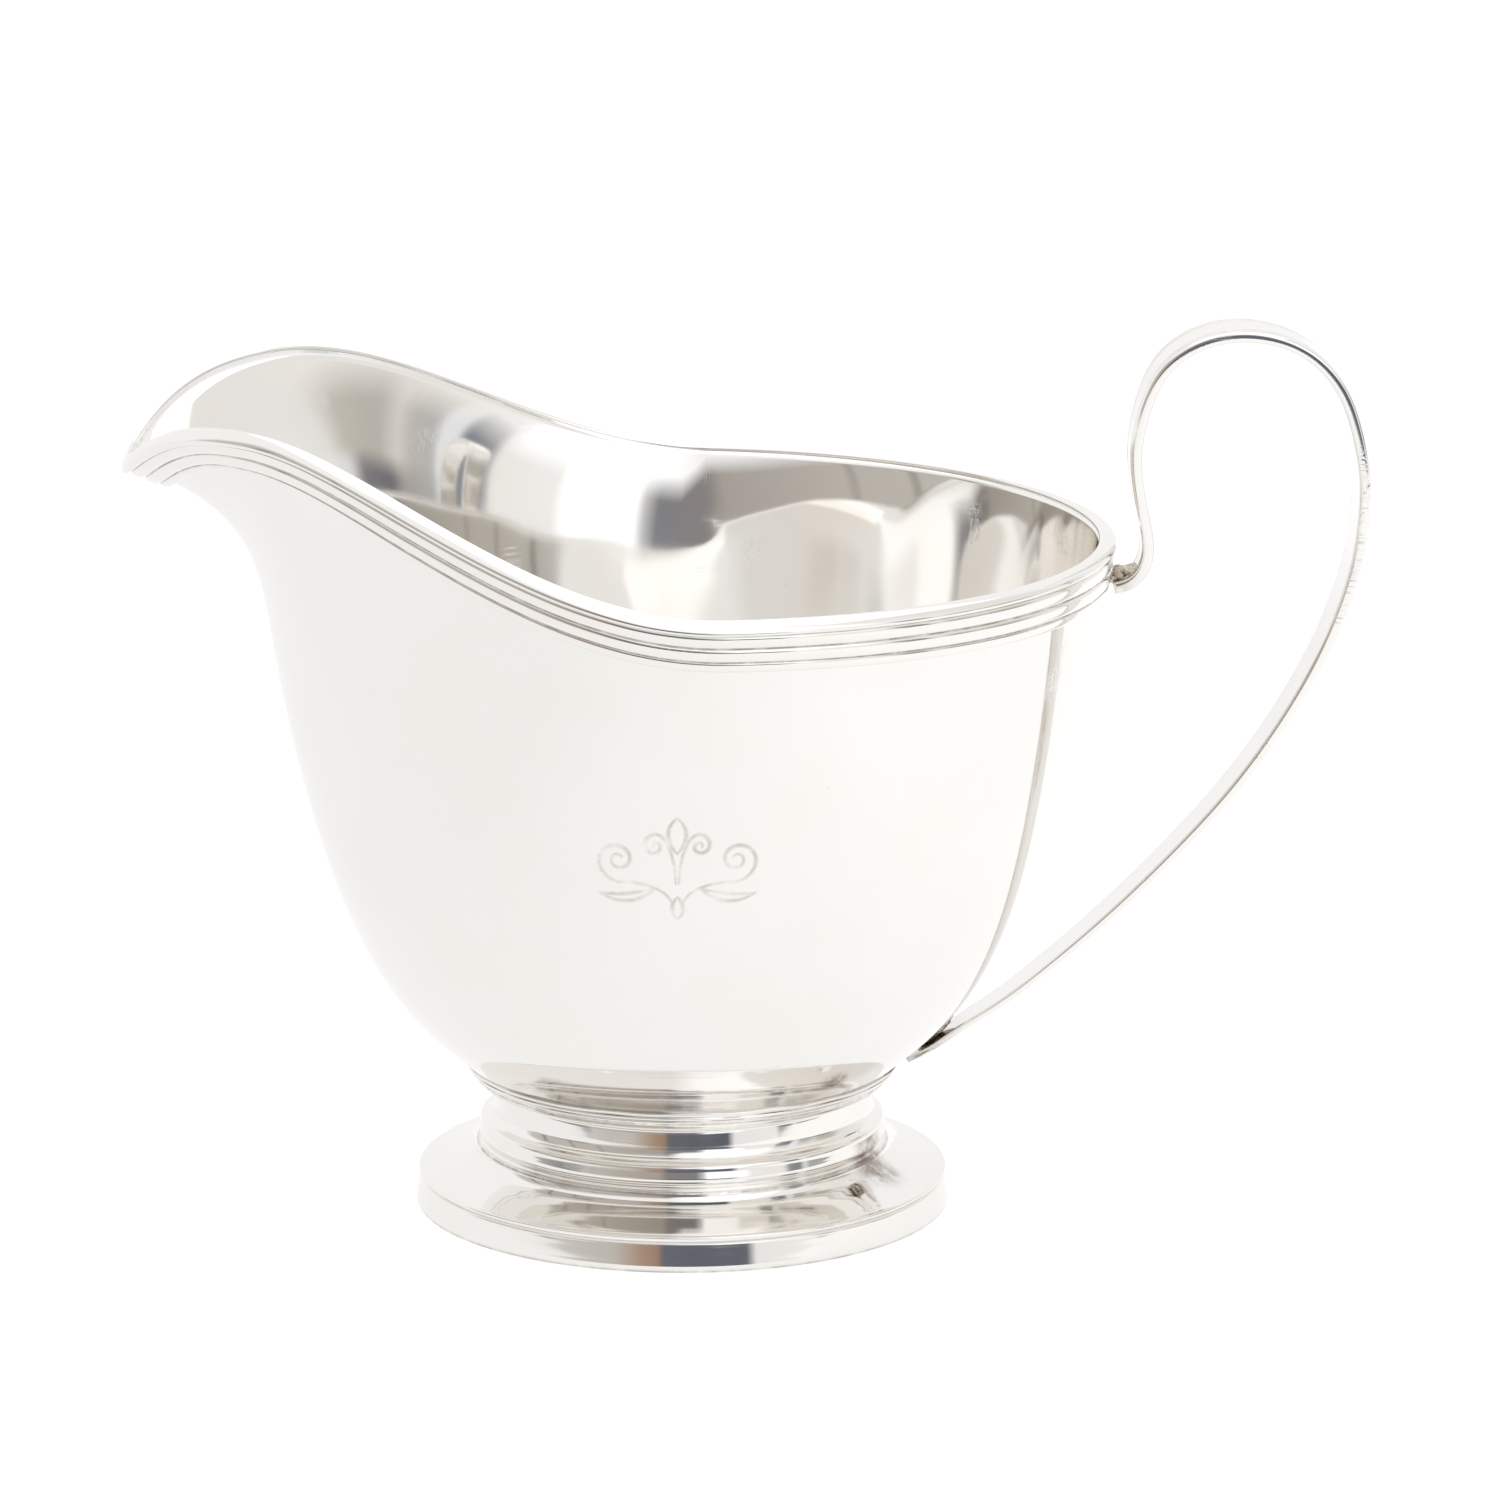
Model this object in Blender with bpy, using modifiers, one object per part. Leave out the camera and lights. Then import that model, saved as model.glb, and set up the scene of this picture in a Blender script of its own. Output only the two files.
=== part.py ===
"""A silver cream jug: a raised bowl with a drawn-out spout, a reeded rim, a spun foot and a strap handle.

The frame is in metres with +Z up. The jug stands on z = 0, its spout points to -X and its handle to +X.
"""

import math

import bpy
import numpy as np

# Fits
JOINT_GAP = 0.0003

# Bowl
WALL = 0.0008
BOWL_FLOOR_Z = 0.0130
BOWL_FLOOR_FLAT = 0.0140
SEAT_RADIUS = 0.0235
SEAT_Z = 0.0156
BELLY_PULL_LOW = (0.00448, 0.00603)
UNDERSIDE_PULL = 0.3
BELLY_PULL_HIGH = (0.00595, 0.07186)
MOUTH_RADIUS = 0.0489
MOUTH_Z = 0.0940

# Rim line, as angles in degrees away from the spout's middle
RIM_Z = 0.0765
RIM_BACK_RADIUS = 0.0469
RIM_SIDE_SWELL = 0.0015
SPOUT_RISE = 0.0158
SPOUT_RISE_FROM = 95.0
SPOUT_RISE_TO = 28.0
SPOUT_DROOP = 0.0075
SPOUT_DROOP_SPREAD = 13.8
SPOUT_REACH = 0.0088
SPOUT_REACH_SPREAD = 22.5
THROAT_REACH = 0.0060
THROAT_REACH_SPREAD = 58.2
FLARE_FROM_Z = 0.0620
FLARE_SHARPNESS = 4.4

# Reeded rim moulding
CAP_HEIGHT = 0.0006
BEAD_OUT = 0.0012
REED_OUT = 0.00105
GROOVE_OUT = 0.00062
LOW_REED_OUT = 0.0008
MOULDING_HEIGHT = 0.0059
FIRST_GROOVE = 0.0011
REED_PITCH = 0.00175
REED_HALF_TOP = 0.00042

# Foot
FOOT_RADIUS = 0.0300
BASE_RING_HEIGHT = 0.0033
BASE_RING_WIDTH = 0.0014
BASE_RING_EDGE = 0.0002
BASE_RING_LEAN = 0.0005
FLANGE_LIP = 0.0003
NECK_RADIUS = 0.02095
SHEET = 0.0008
SEAM_SIZE = 0.0007

# Handle
STRAP_WIDTH = 0.0094
STRAP_THICK = 0.0013
STRAP_GROOVE = 0.12
CURL_REACH = 0.0516
LOOP_REACH = 0.0752
LOOP_TOP_Z = 0.0990
TAIL_X = 0.0253
TAIL_Z = 0.0159
UPPER_JOINT_HALF_WIDTH = 0.0019
LOWER_JOINT_HALF_WIDTH = 0.0017
JOINT_ROUNDING = 0.0001

# How finely the round shapes are cut
AROUND = 72
STRAP_SPAN_STEPS = 4


def bezier(start, pull, push, end, count):
    """Points on the cubic Bezier curve with these four controls."""
    t = np.linspace(0.0, 1.0, count)[:, None]
    controls = [np.array(p) for p in (start, pull, push, end)]
    weights = [(1 - t) ** 3, 3 * t * (1 - t) ** 2, 3 * t * t * (1 - t), t**3]
    return sum(w * p for w, p in zip(weights, controls))


def smooth_path(knots, steps):
    """A Catmull-Rom curve through the knots, each row of which may hold any number of values."""
    knots = np.array(knots, dtype=float)
    padded = np.vstack([2 * knots[0] - knots[1], knots, 2 * knots[-1] - knots[-2]])
    path = []
    for i in range(1, len(padded) - 2):
        a, b, c, d = padded[i - 1 : i + 3]
        t = np.linspace(0.0, 1.0, steps, endpoint=False)[:, None]
        bend = (2 * a - 5 * b + 4 * c - d) * t**2
        twist = (3 * b - a - 3 * c + d) * t**3
        path.append(0.5 * (2 * b + (c - a) * t + bend + twist))
    path.append(knots[-1:])
    return np.vstack(path)


BELLY = bezier(
    (SEAT_RADIUS, SEAT_Z),
    (SEAT_RADIUS + BELLY_PULL_LOW[0], SEAT_Z + BELLY_PULL_LOW[1]),
    (MOUTH_RADIUS - BELLY_PULL_HIGH[0], MOUTH_Z - BELLY_PULL_HIGH[1]),
    (MOUTH_RADIUS, MOUTH_Z),
    400,
)
UNDERSIDE = bezier(
    (0.0, BOWL_FLOOR_Z),
    (BOWL_FLOOR_FLAT, BOWL_FLOOR_Z),
    (SEAT_RADIUS - UNDERSIDE_PULL * BELLY_PULL_LOW[0], SEAT_Z - UNDERSIDE_PULL * BELLY_PULL_LOW[1]),
    (SEAT_RADIUS, SEAT_Z),
    60,
)


def belly_radius(z):
    """The turned bowl's outer radius at a height above its seat on the foot."""
    return np.interp(z, BELLY[:, 1], BELLY[:, 0])


def rim_line(angle):
    """The radius and height of the rim's crest at an angle measured from the handle."""
    away = 180.0 - np.degrees(np.abs((angle + math.pi) % (2 * math.pi) - math.pi))
    rise = np.clip((SPOUT_RISE_FROM - away) / (SPOUT_RISE_FROM - SPOUT_RISE_TO), 0.0, 1.0)
    z = RIM_Z + SPOUT_RISE * 0.5 * (1 - np.cos(math.pi * rise))
    z = z - SPOUT_DROOP * np.exp(-((away / SPOUT_DROOP_SPREAD) ** 2))
    radius = RIM_BACK_RADIUS + RIM_SIDE_SWELL * np.sin(angle) ** 2
    radius = radius + SPOUT_REACH * np.exp(-((away / SPOUT_REACH_SPREAD) ** 2))
    radius = radius + THROAT_REACH * np.exp(-((away / THROAT_REACH_SPREAD) ** 2))
    return radius, z


def wall_point(angle, z):
    """A point of the bowl's outer face, which flares from the turned belly out to the rim line."""
    rim_radius, rim_z = rim_line(angle)
    climb = np.clip((z - FLARE_FROM_Z) / (rim_z - FLARE_FROM_Z), 0.0, None)
    radius = belly_radius(z) + (rim_radius - belly_radius(rim_z)) * climb**FLARE_SHARPNESS
    return np.stack([radius * np.cos(angle), radius * np.sin(angle), z + 0 * angle], axis=-1)


def wall_normal(angle, z):
    """The outward direction of the bowl's outer face."""
    turn, lift = 1e-4, 1e-6
    across = wall_point(angle + turn, z) - wall_point(angle - turn, z)
    up = wall_point(angle, z + lift) - wall_point(angle, z - lift)
    normal = np.cross(across, up)
    return normal / np.linalg.norm(normal, axis=-1, keepdims=True)


def height_below_rim(angle, distance):
    """The height of the wall's point this far from the rim's crest, measured square to the rim."""
    turn = 1e-4
    _, rim_z = rim_line(angle)
    ends = [wall_point(angle + step, rim_line(angle + step)[1]) for step in (-turn, turn)]
    along = ends[1] - ends[0]
    along = along / np.linalg.norm(along, axis=-1, keepdims=True)
    drops = np.linspace(0.0, 0.014, 57)
    heights = rim_z[:, None] - drops[None, :]
    wall = wall_point(np.repeat(angle[:, None], len(drops), axis=1), heights)
    steps = np.diff(wall, axis=1)
    lengths = np.linalg.norm(steps, axis=2)
    run = np.concatenate([np.zeros((len(angle), 1)), np.cumsum(lengths, axis=1)], axis=1)
    down = steps[:, 0] / lengths[:, :1]
    square = np.sqrt(1 - np.sum(down * along, axis=1) ** 2)
    return np.array([np.interp(distance / s, row, height) for s, row, height in zip(square, run, heights)])


def object_from(name, points, faces, material):
    """A new object in the jug's collection, from points measured from the foot's axis."""
    mesh = bpy.data.meshes.new(name)
    mesh.from_pydata(np.array(points, dtype=float).tolist(), [], [list(map(int, face)) for face in faces])
    mesh.update()
    mesh.materials.append(material)
    obj = bpy.data.objects.new(name, mesh)
    jug.objects.link(obj)
    return obj


def smooth(obj, degrees):
    obj.data.shade_smooth()
    obj.data.set_sharp_from_angle(angle=math.radians(degrees))


def silver(name, color, roughness):
    material = bpy.data.materials.new(name)
    material.use_nodes = True
    shader = material.node_tree.nodes["Principled BSDF"]
    shader.inputs["Base Color"].default_value = (*color, 1.0)
    shader.inputs["Metallic"].default_value = 1.0
    shader.inputs["Roughness"].default_value = roughness
    return material


def grid_faces(rows, columns, wrap_rows=False):
    """Quads between the neighbouring rows of a grid whose columns close into rings."""
    r = np.arange(rows if wrap_rows else rows - 1)[:, None]
    c = np.arange(columns)[None, :]
    upper, lower = r * columns, ((r + 1) % rows) * columns
    ahead = (c + 1) % columns
    return np.stack([upper + c, upper + ahead, lower + ahead, lower + c], axis=-1).reshape(-1, 4)


def turned(name, profile, material):
    """A turned solid about the foot's axis, from a closed profile that runs down its outer side first."""
    points = [(radius, 0.0, z) for radius, z in profile]
    edges = [(i, (i + 1) % len(points)) for i in range(len(points))]
    mesh = bpy.data.meshes.new(name)
    mesh.from_pydata(points, edges, [])
    mesh.materials.append(material)
    obj = bpy.data.objects.new(name, mesh)
    jug.objects.link(obj)
    screw = obj.modifiers.new("turn", "SCREW")
    screw.axis = "Z"
    screw.steps = AROUND
    screw.render_steps = AROUND
    screw.use_merge_vertices = True
    screw.merge_threshold = 0.0001
    screw.use_smooth_shade = True
    return obj


def bowl_offset(radii, gap):
    """Points a gap outside the bowl's underside and belly, at the given bowl radii."""
    section = np.vstack([UNDERSIDE[:-1], BELLY])
    tangent = np.gradient(section, axis=0)
    tangent /= np.linalg.norm(tangent, axis=1)[:, None]
    shifted = section + gap * np.stack([tangent[:, 1], -tangent[:, 0]], axis=1)
    return np.stack([np.interp(radii, section[:, 0], shifted[:, k]) for k in (0, 1)], axis=1)


for old in list(bpy.data.objects):
    bpy.data.objects.remove(old)
jug = bpy.data.collections.new("cream_jug")
bpy.context.scene.collection.children.link(jug)

polished = silver("polished silver", (0.93, 0.92, 0.90), 0.08)
worn = silver("worn silver", (0.90, 0.89, 0.87), 0.14)
handled = silver("handled silver", (0.91, 0.90, 0.88), 0.12)
solder = silver("tarnished solder", (0.36, 0.31, 0.27), 0.38)

# Bowl: rings from the middle of its floor up to the wall's top edge, under the moulding's cap
angles = np.linspace(0.0, 2 * math.pi, AROUND, endpoint=False)
wall_top = height_below_rim(angles, CAP_HEIGHT + JOINT_GAP)
bowl_rows = []
for place in (0.25, 0.5, 0.75, 0.9):
    ring_radius, ring_z = UNDERSIDE[round(place * (len(UNDERSIDE) - 1))]
    ring = [ring_radius * np.cos(angles), ring_radius * np.sin(angles), ring_z + 0 * angles]
    bowl_rows.append(np.stack(ring, axis=1))
belly_shares = np.linspace(0.0, 1.0, 12) ** 1.6
for share in belly_shares:
    bowl_rows.append(wall_point(angles, SEAT_Z + (FLARE_FROM_Z - SEAT_Z) * share + 0 * angles))
for share in np.linspace(0.0, 1.0, 11)[1:]:
    bowl_rows.append(wall_point(angles, FLARE_FROM_Z + (wall_top - FLARE_FROM_Z) * share))
bowl_points = np.vstack(bowl_rows)
floor_middle = len(bowl_points)
bowl_points = np.vstack([bowl_points, [[0.0, 0.0, BOWL_FLOOR_Z]]])
bowl_faces = grid_faces(len(bowl_rows), AROUND).tolist()
bowl_faces += [[(i + 1) % AROUND, i, floor_middle] for i in range(AROUND)]
body = object_from("body", bowl_points, bowl_faces, polished)
shell = body.modifiers.new("wall", "SOLIDIFY")
shell.thickness = WALL
shell.offset = -1.0
shell.use_even_offset = True
smooth(body, 40)

# Rim moulding: an angle-shaped wire that caps the wall's edge and carries the reeds down its outside
reed_tops = [FIRST_GROOVE + REED_PITCH * (i + 0.5) for i in range(2)]
grooves = [FIRST_GROOVE + REED_PITCH * i for i in range(3)]
rim_section = [(0.00022, -WALL), (0.00004, -0.55 * WALL), (0.0, 0.0), (0.00005, 0.0005)]
rim_section += [(0.00025, 0.00095), (0.00055, BEAD_OUT), (0.00082, 0.9 * BEAD_OUT)]
for groove, reed in zip(grooves, reed_tops):
    rim_section += [(groove, GROOVE_OUT), (reed - REED_HALF_TOP, 0.94 * REED_OUT)]
    rim_section += [(reed, REED_OUT), (reed + REED_HALF_TOP, 0.94 * REED_OUT)]
rim_section += [(grooves[2], GROOVE_OUT), (grooves[2] + 0.0003, LOW_REED_OUT)]
rim_section += [(0.5 * (grooves[2] + MOULDING_HEIGHT), LOW_REED_OUT)]
rim_section += [(MOULDING_HEIGHT - 0.0001, 0.00055), (MOULDING_HEIGHT, JOINT_GAP)]
rim_section += [(MOULDING_HEIGHT * share, JOINT_GAP) for share in (0.8, 0.6, 0.4, 0.25)]
rim_section += [(CAP_HEIGHT, JOINT_GAP), (CAP_HEIGHT, -WALL)]
rim_rows = []
for distance, out in rim_section:
    heights = height_below_rim(angles, distance)
    rim_rows.append(wall_point(angles, heights) + out * wall_normal(angles, heights))
rim_faces = grid_faces(len(rim_rows), AROUND, wrap_rows=True)[:, ::-1]
moulding = object_from("rim_moulding", np.vstack(rim_rows), rim_faces, polished)
smooth(moulding, 50)

# Foot: a spun pedestal whose flared top cradles the bowl's underside
seat_radii = [SEAT_RADIUS - drop for drop in (-0.0004, 0.0, 0.0006, 0.0016)] + [NECK_RADIUS - 0.0002]
seat = bowl_offset(np.array(seat_radii), JOINT_GAP)
flange_z = BASE_RING_HEIGHT + JOINT_GAP
outer_side = [
    (SEAT_RADIUS + 0.0005, seat[0, 1] - 0.0001),
    (SEAT_RADIUS + 0.0005, seat[0, 1] - 0.0003),
    (SEAT_RADIUS + 0.0001, seat[0, 1] - 0.0005),
    (SEAT_RADIUS - 0.0001, seat[0, 1] - 0.0007),
    (SEAT_RADIUS - 0.0002, seat[0, 1] - 0.0011),
    (SEAT_RADIUS - 0.0005, seat[0, 1] - 0.0016),
    (NECK_RADIUS + 0.0015, seat[0, 1] - 0.00185),
    (NECK_RADIUS + 0.0008, seat[0, 1] - 0.0021),
    (NECK_RADIUS + 0.0003, seat[0, 1] - 0.0023),
    (NECK_RADIUS, 0.0133),
    (NECK_RADIUS, 0.0129),
    (NECK_RADIUS + 0.0001, 0.0120),
    (NECK_RADIUS + 0.0002, 0.0112),
    (NECK_RADIUS + 0.0004, 0.0106),
    (NECK_RADIUS + 0.0008, 0.0102),
    (NECK_RADIUS + 0.0012, 0.0100),
    (NECK_RADIUS + 0.0016, 0.0099),
    (NECK_RADIUS + 0.0017, 0.0097),
    (NECK_RADIUS + 0.0018, 0.0092),
    (NECK_RADIUS + 0.0020, 0.0084),
    (NECK_RADIUS + 0.0019, 0.0080),
    (NECK_RADIUS + 0.0016, 0.0075),
    (NECK_RADIUS + 0.0019, 0.0071),
    (NECK_RADIUS + 0.0022, 0.0069),
    (NECK_RADIUS + 0.0024, 0.0064),
    (0.80 * FOOT_RADIUS, 0.0058),
    (0.85 * FOOT_RADIUS, 0.0051),
    (0.90 * FOOT_RADIUS, 0.0046),
    (0.96 * FOOT_RADIUS, 0.0041),
    (FOOT_RADIUS - 0.0003, flange_z + FLANGE_LIP),
    (FOOT_RADIUS - 0.0003, flange_z),
]
inner_side = [
    (0.95 * FOOT_RADIUS, flange_z),
    (0.92 * FOOT_RADIUS, 0.0037),
    (0.85 * FOOT_RADIUS, 0.0042),
    (0.79 * FOOT_RADIUS, 0.0049),
    (NECK_RADIUS + 0.0025 - SHEET, 0.0056),
    (NECK_RADIUS + 0.0020 - SHEET, 0.0066),
    (NECK_RADIUS + 0.0021 - SHEET, 0.0082),
    (NECK_RADIUS + 0.0011 - SHEET, 0.0089),
    (NECK_RADIUS + 0.0001 - SHEET, 0.0097),
    (NECK_RADIUS - SHEET, 0.0106),
    (NECK_RADIUS - SHEET, seat[-1, 1] - 0.0003),
]
foot = turned("foot", outer_side + inner_side + [tuple(p) for p in seat[::-1]], worn)

ring_inner = FOOT_RADIUS - BASE_RING_WIDTH
base_ring = turned(
    "foot_base_ring",
    [
        (FOOT_RADIUS - BASE_RING_LEAN - BASE_RING_EDGE, BASE_RING_HEIGHT),
        (FOOT_RADIUS - BASE_RING_LEAN, BASE_RING_HEIGHT - BASE_RING_EDGE),
        (FOOT_RADIUS, 3 * BASE_RING_EDGE),
        (FOOT_RADIUS - 1.5 * BASE_RING_EDGE, 0.0),
        (ring_inner + BASE_RING_EDGE, 0.0),
        (ring_inner, BASE_RING_EDGE),
        (ring_inner, BASE_RING_HEIGHT),
    ],
    worn,
)

# Solder seam: a small fillet in the corner between the bowl and the foot's top lip
seam_wall = bowl_offset(SEAT_RADIUS + np.array([0.0012, 0.0008]), JOINT_GAP)
seam_foot_z = outer_side[0][1] + JOINT_GAP
seam = turned(
    "foot_solder_seam",
    [
        tuple(seam_wall[0]),
        (seam_wall[0, 0] + 0.3 * SEAM_SIZE, seam_wall[0, 1] - 0.4 * SEAM_SIZE),
        (seam_wall[0, 0] + 0.1 * SEAM_SIZE, seam_foot_z),
        (seam_wall[1, 0] - 0.0001, seam_foot_z),
        tuple(seam_wall[1]),
    ],
    solder,
)

# Handle: a strap that leaves the rim, curls up and over in a high loop and runs down to the foot of the bowl
MOULDING_BACK = RIM_BACK_RADIUS + LOW_REED_OUT
strap_knots = [
    # reach, height, share of full width, share of full thickness
    (MOULDING_BACK + 0.0001, 0.0704, 0.50, 1.00),
    (MOULDING_BACK + 0.0016, 0.0705, 0.52, 1.00),
    (CURL_REACH - 0.0008, 0.0719, 0.55, 1.00),
    (CURL_REACH, 0.0748, 0.60, 1.00),
    (CURL_REACH - 0.0013, 0.0816, 0.70, 0.95),
    (CURL_REACH - 0.0016, 0.0868, 0.80, 0.95),
    (CURL_REACH + 0.0005, 0.0940, 0.92, 0.95),
    (0.0560, LOOP_TOP_Z - 0.0013, 0.98, 0.95),
    (0.0617, LOOP_TOP_Z, 1.00, 0.95),
    (0.0680, LOOP_TOP_Z - 0.0016, 1.00, 0.95),
    (LOOP_REACH - 0.0027, LOOP_TOP_Z - 0.0062, 0.99, 1.00),
    (LOOP_REACH - 0.0004, LOOP_TOP_Z - 0.0135, 0.97, 1.00),
    (LOOP_REACH, LOOP_TOP_Z - 0.0190, 0.95, 1.00),
    (LOOP_REACH - 0.0012, LOOP_TOP_Z - 0.0274, 0.90, 1.00),
    (0.0697, 0.0607, 0.82, 0.95),
    (0.0616, 0.0481, 0.76, 0.85),
    (0.0500, 0.0354, 0.70, 0.70),
    (0.0382, 0.0249, 0.62, 0.60),
    (0.0312, 0.0200, 0.54, 0.55),
    (0.0276, 0.0173, 0.42, 0.50),
    (TAIL_X, TAIL_Z, 0.20, 0.40),
]
strap = smooth_path(strap_knots, STRAP_SPAN_STEPS)
along = np.gradient(strap[:, :2], axis=0)
along /= np.linalg.norm(along, axis=1)[:, None]
outward = np.stack([-along[:, 1], along[:, 0]], axis=1)
half_width = 0.5 * STRAP_WIDTH * strap[:, 2]
half_thick = 0.5 * STRAP_THICK * strap[:, 3]
thread = 1.0 - STRAP_GROOVE
strap_section = [(-1.0, -0.3), (-0.94, -1.0), (0.94, -1.0), (1.0, -0.3), (1.0, 0.4), (0.93, 0.95)]
for middle in (0.72, 0.42, 0.0, -0.42, -0.72):
    strap_section += [(middle + 0.09, 1.0), (middle, thread), (middle - 0.09, 1.0)]
strap_section += [(-0.93, 0.95), (-1.0, 0.4)]
strap_rows = []
for across, through in strap_section:
    level = half_thick * through
    row = [strap[:, 0] + outward[:, 0] * level, half_width * across, strap[:, 1] + outward[:, 1] * level]
    strap_rows.append(np.stack(row, axis=1))
strap_points = np.stack(strap_rows, axis=1)
stations, around = strap_points.shape[:2]
strap_faces = grid_faces(stations, around).tolist()
strap_faces += [list(range(around))[::-1], [(stations - 1) * around + i for i in range(around)]]
handle = object_from("handle", strap_points.reshape(-1, 3), strap_faces, handled)
smooth(handle, 40)


def slab(name, outline, half_width, material, rounding):
    """A solder joint: an outline in the jug's middle plane, anticlockwise from -Y, carried to both sides."""
    count = len(outline)
    points = [(x, -half_width, z) for x, z in outline] + [(x, half_width, z) for x, z in outline]
    faces = [list(range(count)), [2 * count - 1 - i for i in range(count)]]
    faces += [[(i + 1) % count, i, count + i, count + (i + 1) % count] for i in range(count)]
    obj = object_from(name, points, faces, material)
    edge = obj.modifiers.new("round", "BEVEL")
    edge.width = rounding
    edge.segments = 2
    edge.limit_method = "ANGLE"
    smooth(obj, 40)
    return obj


def beside_strap(side, first, last, count):
    """Points a joint gap off one face of the strap, between two places counted in spans from its start."""
    picked = (np.linspace(first, last, count) * STRAP_SPAN_STEPS).round().astype(int)
    level = side * (half_thick[picked] + JOINT_GAP)
    return [tuple(point) for point in strap[picked, :2] + outward[picked] * level[:, None]]


# Upper joint: solder run into the corner between the moulding and the strap's start
corner_x = MOULDING_BACK + (REED_OUT - LOW_REED_OUT) + JOINT_GAP
upper_outline = beside_strap(1.0, 0.25, 2.0, 5)
upper_outline += [(corner_x + 0.0012, 0.0724), (corner_x + 0.0005, 0.0728), (corner_x, 0.0734)]
upper_joint = slab("upper_handle_solder", upper_outline, UPPER_JOINT_HALF_WIDTH, solder, JOINT_ROUNDING)

# Lower joint: a solder wedge between the bowl and the strap's lower end
lower_outline = [tuple(point) for point in bowl_offset(np.linspace(0.0292, 0.0255, 4), JOINT_GAP)]
lower_outline += beside_strap(-1.0, 19.0, 18.0, 4)
lower_joint = slab("lower_handle_solder", lower_outline, LOWER_JOINT_HALF_WIDTH, solder, JOINT_ROUNDING)

# The jug is centred on the frame's origin, so the foot's axis stands a little towards the spout
spout_tip_x = min(row[:, 0].min() for row in rim_rows)
loop_back_x = strap_points[..., 0].max()
for obj in jug.objects:
    obj.location.x = -0.5 * (spout_tip_x + loop_back_x)
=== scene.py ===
"""A silver cream jug on a pale floor: a raised bowl, a reeded rim, a spun foot and a threaded strap handle.

Every shape is a surface worked out with numpy in metres, in the frame of the CAD part. The spout points to
-X and the handle to +X. Angles round the bowl are measured at the foot's axis, from the handle.
"""

import math

import bpy
import numpy as np
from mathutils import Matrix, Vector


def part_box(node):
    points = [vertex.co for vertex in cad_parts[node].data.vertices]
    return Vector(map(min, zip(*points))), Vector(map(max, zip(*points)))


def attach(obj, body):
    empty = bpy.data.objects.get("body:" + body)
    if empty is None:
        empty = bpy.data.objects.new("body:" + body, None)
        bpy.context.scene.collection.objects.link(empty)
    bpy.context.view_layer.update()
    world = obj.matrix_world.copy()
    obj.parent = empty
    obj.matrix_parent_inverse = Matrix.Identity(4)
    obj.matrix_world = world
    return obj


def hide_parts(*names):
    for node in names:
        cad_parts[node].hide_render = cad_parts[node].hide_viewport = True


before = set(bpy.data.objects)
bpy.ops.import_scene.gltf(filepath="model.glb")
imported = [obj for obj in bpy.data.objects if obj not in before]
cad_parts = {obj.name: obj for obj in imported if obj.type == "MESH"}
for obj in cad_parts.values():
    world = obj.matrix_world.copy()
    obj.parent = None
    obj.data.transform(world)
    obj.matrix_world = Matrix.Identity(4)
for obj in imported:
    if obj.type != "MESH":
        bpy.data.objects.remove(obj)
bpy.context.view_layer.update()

MM = 0.001
base_low, base_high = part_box("foot_base_ring")
AXIS_X = 0.5 * (base_low.x + base_high.x)

# Bowl
WALL = 0.8 * MM
FLOOR_Z = 13.0 * MM
SEAT_RADIUS, SEAT_Z = 23.5 * MM, 15.6 * MM
LOW_PULL = (4.48 * MM, 6.03 * MM)
UNDERSIDE_PULL = 0.3
HIGH_PULL = (5.95 * MM, 71.86 * MM)
MOUTH_RADIUS, MOUTH_Z = 48.9 * MM, 94.0 * MM
FLARE_FROM_Z = 62.0 * MM
FLARE_SHARPNESS = 4.4
JOINT_GAP = 0.3 * MM

# Rim's crest: degrees away from the spout between which it climbs, and its sizes in mm
CLIMB_FROM, CLIMB_TO = 95.0, 28.0
CREST_Z, SPOUT_RISE = 76.5, 15.8
TIP_DROOP, DROOP_WIDTH = 7.5, 13.8
CREST_RADIUS, SIDE_SWELL = 46.9, 1.5
TIP_REACH, TIP_WIDTH = 8.8, 22.5
SPOUT_REACH, SPOUT_WIDTH = 6.0, 58.2

# Handle
STRAP_WIDTH, STRAP_THICK = 9.4 * MM, 1.3 * MM

# Scroll cut into the near side of the bowl
SCROLL_ANGLE = math.radians(-91.4)
SCROLL_Z = 48.6 * MM
SCROLL_HALF_WIDTH = 9.8 * MM
SCROLL_HALF_HEIGHT = 6.4 * MM
SCROLL_STEP = 0.14 * MM
SCROLL_GROWTH = 1.12
CUT_DEPTH = 0.07 * MM

# Dent in the far wall, seen from inside: its angle, and its radius, height and half size in mm
DENT_ANGLE = math.radians(86.7)
DENT_RADIUS, DENT_Z, DENT_SIZE = 44.0, 68.0, 1.3
DENT_DEPTH = 0.07 * MM

# Old stain on the foot: its middle, its half sizes outwards and round, and the cosine and sine of its bearing
STAIN_X, STAIN_Y = 21.2 * MM, -10.0 * MM
STAIN_OUT, STAIN_ROUND = 2.9 * MM, 3.2 * MM
STAIN_COS, STAIN_SIN = 0.91, 0.41


def bezier(start, pull, push, end, count):
    """Cubic Bezier curve: the four controls weighted by (1-t)^3, 3t(1-t)^2, 3t^2(1-t) and t^3."""
    t = np.linspace(0.0, 1.0, count)[:, None]
    controls = [np.array(point, dtype=float) for point in (start, pull, push, end)]
    weights = [(1 - t) ** 3, 3 * t * (1 - t) ** 2, 3 * t * t * (1 - t), t**3]
    return sum(weight * control for weight, control in zip(weights, controls))


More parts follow.
